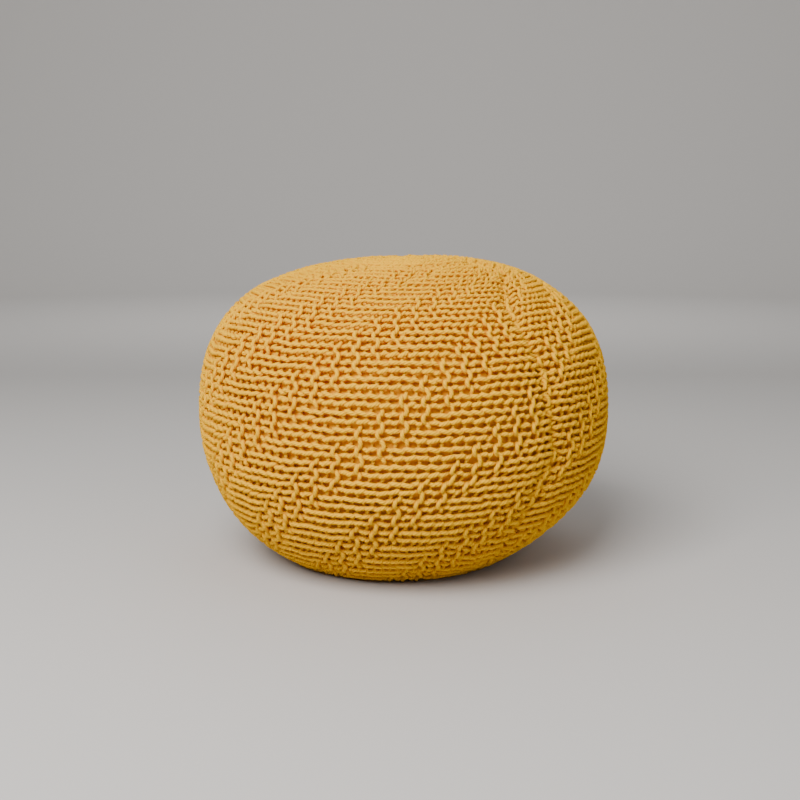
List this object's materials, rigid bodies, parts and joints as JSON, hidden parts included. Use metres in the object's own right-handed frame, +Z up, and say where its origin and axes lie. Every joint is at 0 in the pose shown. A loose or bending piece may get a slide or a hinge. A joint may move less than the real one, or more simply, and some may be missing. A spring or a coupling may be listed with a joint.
{
  "type": "knitted pouf",
  "caption": "Round floor pouf: a filled casing in a thick rib-textured knitted cover, seamed up one side, gathered at the top and the bottom, with a flat base.",
  "frame": {"origin": "middle of the flat base, on the floor", "axes": "+Z up through the gathered top; -Y is the side the picture shows as the front; the seam is right of the front"},
  "size_m": [0.51, 0.5056, 0.3759],
  "materials": {
    "cotton_cord": "matt mustard-yellow cotton cord, knitted in a thick open rib",
    "casing_cloth": "matt plain-woven orange-yellow cotton"
  },
  "bodies": {
    "root": {"knitted_cover": "cotton_cord", "inner_casing": "casing_cloth"}
  },
  "joints": []
}
